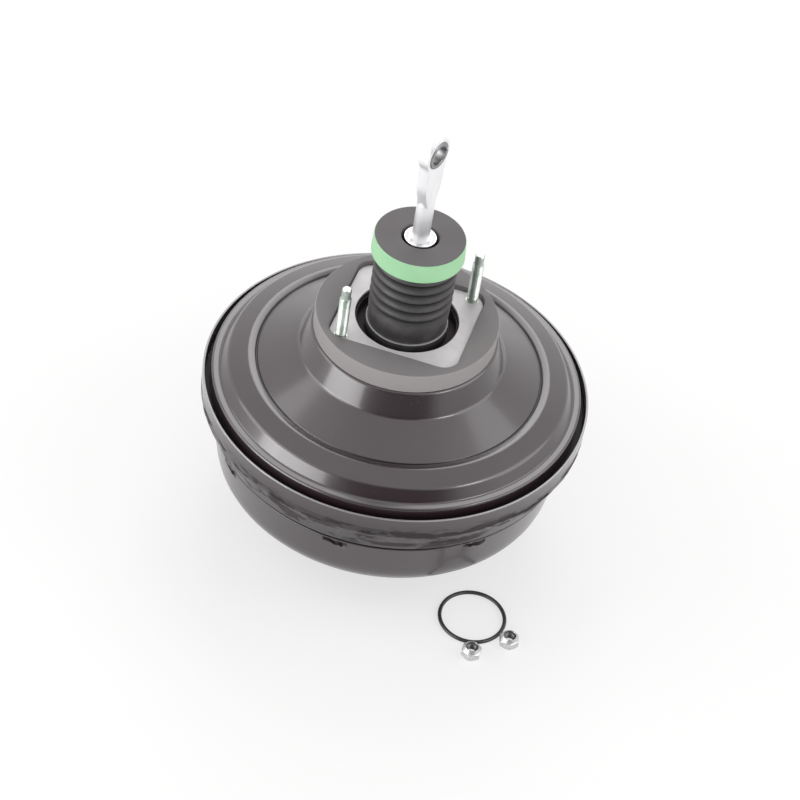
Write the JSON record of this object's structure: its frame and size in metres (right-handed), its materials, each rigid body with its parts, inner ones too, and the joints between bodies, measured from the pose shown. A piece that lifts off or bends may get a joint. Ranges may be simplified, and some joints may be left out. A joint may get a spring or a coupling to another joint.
{
  "type": "vacuum brake booster",
  "caption": "Vacuum brake booster with a crimped pressed steel casing, stud mounting, gasket, ribbed dust boot, green band and a sprung pedal push rod with an eye.",
  "frame": {"origin": "centre of the bulkhead mounting face, on the booster's axis between the two bulkhead studs", "axes": "+Z along the booster's axis towards the pedal, the two bulkhead studs lie on the X axis"},
  "size_m": [0.272, 0.3014, 0.335],
  "materials": {
    "shell_paint": "gloss black enamel",
    "bare_plate": "satin pale grey",
    "gasket_foam": "matte mid grey foam",
    "zinc": "zinc plated, slightly green",
    "bright_forging": "bright satin, forged and turned",
    "turned_cup": "turned, radial lustre",
    "bush_steel": "rolled steel",
    "boot_rubber": "satin black rubber",
    "seal_rubber": "black rubber",
    "diaphragm_rubber": "matte black rubber on fabric",
    "green_band": "satin mint green",
    "dark_foam": "dark grey foam",
    "felt": "grey felt",
    "phenolic": "dark brown moulding",
    "white_plastic": "off-white nylon",
    "plated_sheet": "yellow zinc plated sheet",
    "spring_steel": "phosphated spring wire"
  },
  "bodies": {
    "housing": {"rear_cover": "shell_paint", "front_case": "shell_paint", "hub_plate": "bare_plate", "bulkhead_gasket": "gasket_foam", "bulkhead_studs": "zinc", "guide_bush": "white_plastic", "tail_lip_seal": "seal_rubber", "seal_retainer": "plated_sheet", "dust_boot": "boot_rubber", "rear_diaphragm": "diaphragm_rubber", "chamber_divider": "plated_sheet", "divider_seal": "seal_rubber", "divider_bush": "white_plastic", "front_diaphragm": "diaphragm_rubber", "front_stiffener": "shell_paint", "main_studs": "zinc", "spring_seat": "plated_sheet", "return_spring": "spring_steel", "vacuum_grommet": "seal_rubber"},
    "power_piston": {"valve_body": "phenolic", "stop_key": "plated_sheet", "rear_plate": "plated_sheet", "front_plate": "plated_sheet", "plate_ring": "plated_sheet", "reaction_disc": "seal_rubber", "output_rod": "zinc", "output_retainer": "spring_steel", "output_tip": "zinc", "air_filter": "felt", "boot_end_cap": "white_plastic", "silencer_disc": "dark_foam", "boot_band": "green_band", "poppet_retainer": "plated_sheet", "poppet_valve": "seal_rubber", "poppet_spring": "spring_steel", "rod_return_spring": "spring_steel"},
    "control_plunger": {"plunger": "zinc"},
    "push_rod": {"input_rod": "bright_forging", "eye_bush": "bush_steel", "rod_cup": "turned_cup", "rod_spring_washer": "zinc"},
    "loose_o_ring": {"spigot_o_ring": "seal_rubber"},
    "loose_nut_1": {"lock_nut_1": "zinc"},
    "loose_nut_2": {"lock_nut_2": "zinc"}
  },
  "joints": [
    {"name": "piston_stroke", "type": "slide", "parent": "housing", "child": "power_piston", "axis": [0, 0, -1], "range_m": [0, 0.03], "stiffness_N_per_m": 5000, "springref_m": -0.025, "deforming": ["return_spring", "dust_boot", "rear_diaphragm", "front_diaphragm"]},
    {"name": "plunger_travel", "type": "slide", "parent": "power_piston", "child": "control_plunger", "axis": [0, 0, -1], "range_m": [0, 0.0015], "stiffness_N_per_m": 1000, "springref_m": -0.03, "deforming": ["rod_return_spring"]},
    {"name": "push_rod_swing", "type": "hinge", "parent": "control_plunger", "child": "push_rod", "pos_m": [0, 0, -0.023], "axis": [0.4384, -0.8988, 0], "range_deg": [-1, 1]},
    {"name": "o_ring_slide", "type": "slide", "parent": "housing", "child": "loose_o_ring", "axis": [-0.9537, 0.3007, 0], "range_m": [0, 0.05]},
    {"name": "nut_slide_1", "type": "slide", "parent": "housing", "child": "loose_nut_1", "axis": [-0.0479, -0.9989, 0], "range_m": [0, 0.08]},
    {"name": "nut_slide_2", "type": "slide", "parent": "housing", "child": "loose_nut_2", "axis": [0.1397, -0.9902, 0], "range_m": [0, 0.08]}
  ]
}
